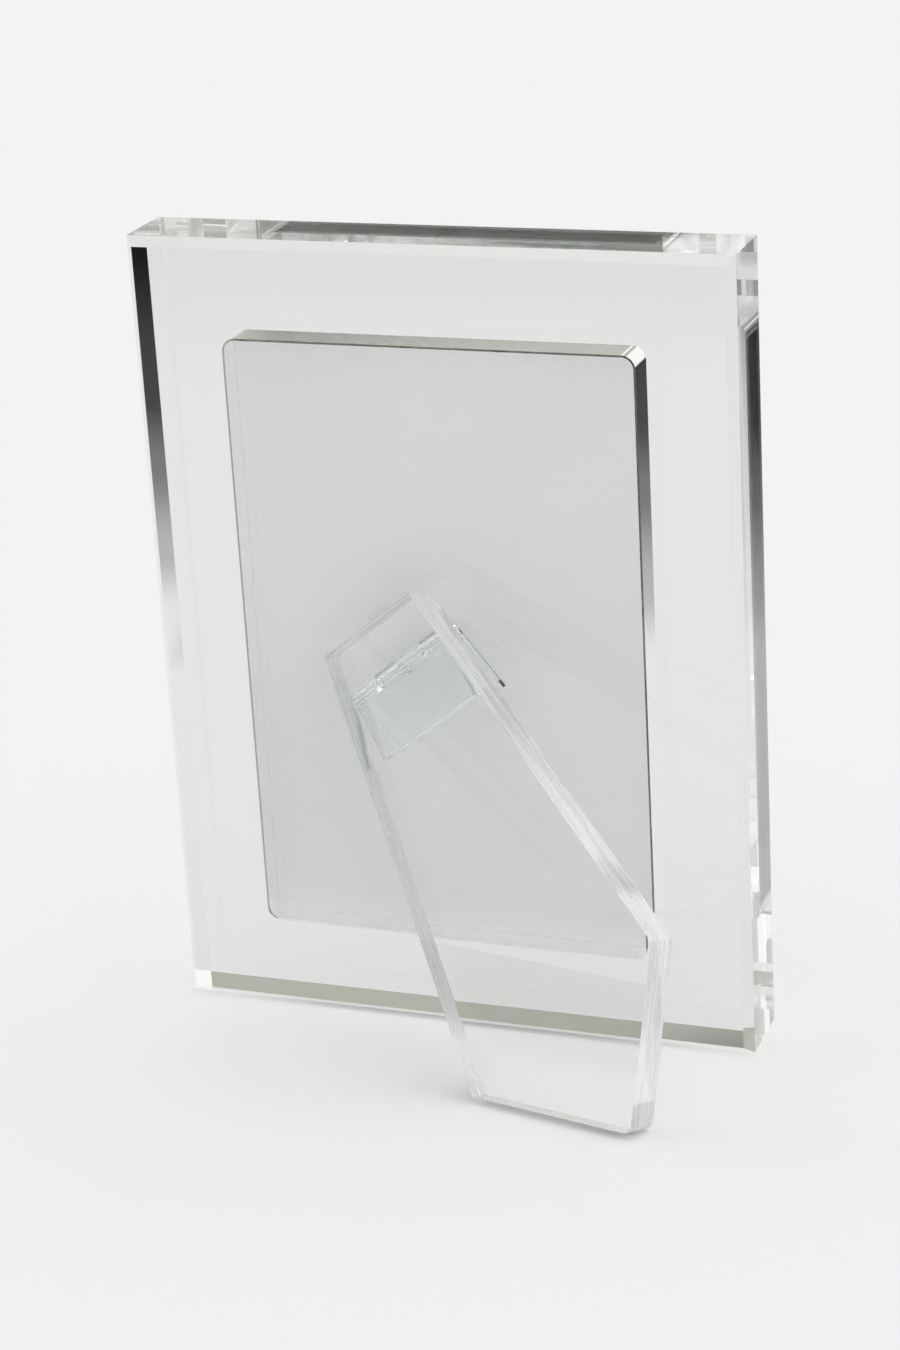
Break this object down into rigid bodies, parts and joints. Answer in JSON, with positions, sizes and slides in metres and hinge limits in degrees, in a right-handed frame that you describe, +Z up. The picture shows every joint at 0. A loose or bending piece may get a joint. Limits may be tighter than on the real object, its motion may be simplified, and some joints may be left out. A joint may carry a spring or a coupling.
{
  "type": "block picture frame",
  "caption": "Clear acrylic block picture frame with a pocket in its back closed by a loose clear panel, leaning back on a hinged clear leg.",
  "frame": {"origin": "bottom centre of the standing frame's bounding box, on the surface that it stands on", "axes": "+Z is up as it stands, +Y points out of the back towards the leg's foot, and +X is to the right seen from the front"},
  "size_m": [0.1524, 0.0896, 0.2035],
  "materials": {
    "clear_acrylic": "clear, polished on every face",
    "hinge_acrylic": "clear, moulded",
    "print_paper": "blank, satin",
    "pale_board": "pale grey, smooth, matt"
  },
  "bodies": {
    "block": {"front_block": "clear_acrylic"},
    "print": {"photo_print": "print_paper"},
    "board": {"backing_board": "pale_board"},
    "panel": {"back_panel": "clear_acrylic", "panel_leaf": "hinge_acrylic", "hinge_pin": "hinge_acrylic"},
    "leg": {"leg_leaf": "hinge_acrylic", "easel_leg": "clear_acrylic"}
  },
  "joints": [
    {"name": "print_lift", "type": "slide", "parent": "block", "child": "print", "axis": [0, 0.9866, -0.1633], "range_m": [0, 0.018]},
    {"name": "board_lift", "type": "slide", "parent": "block", "child": "board", "axis": [0, 0.9866, -0.1633], "range_m": [0, 0.036]},
    {"name": "panel_lift", "type": "slide", "parent": "block", "child": "panel", "axis": [0, 0.9866, -0.1633], "range_m": [0, 0.06]},
    {"name": "leg_swing", "type": "hinge", "parent": "panel", "child": "leg", "pos_m": [0.00695, -0.00529, 0.09654], "axis": [0.7837, -0.1015, -0.6128], "range_deg": [-24.8, 0]}
  ],
  "couplings": [
    {"joint": "board_lift", "follows": "panel_lift", "ratio": 0.6},
    {"joint": "print_lift", "follows": "panel_lift", "ratio": 0.3}
  ]
}
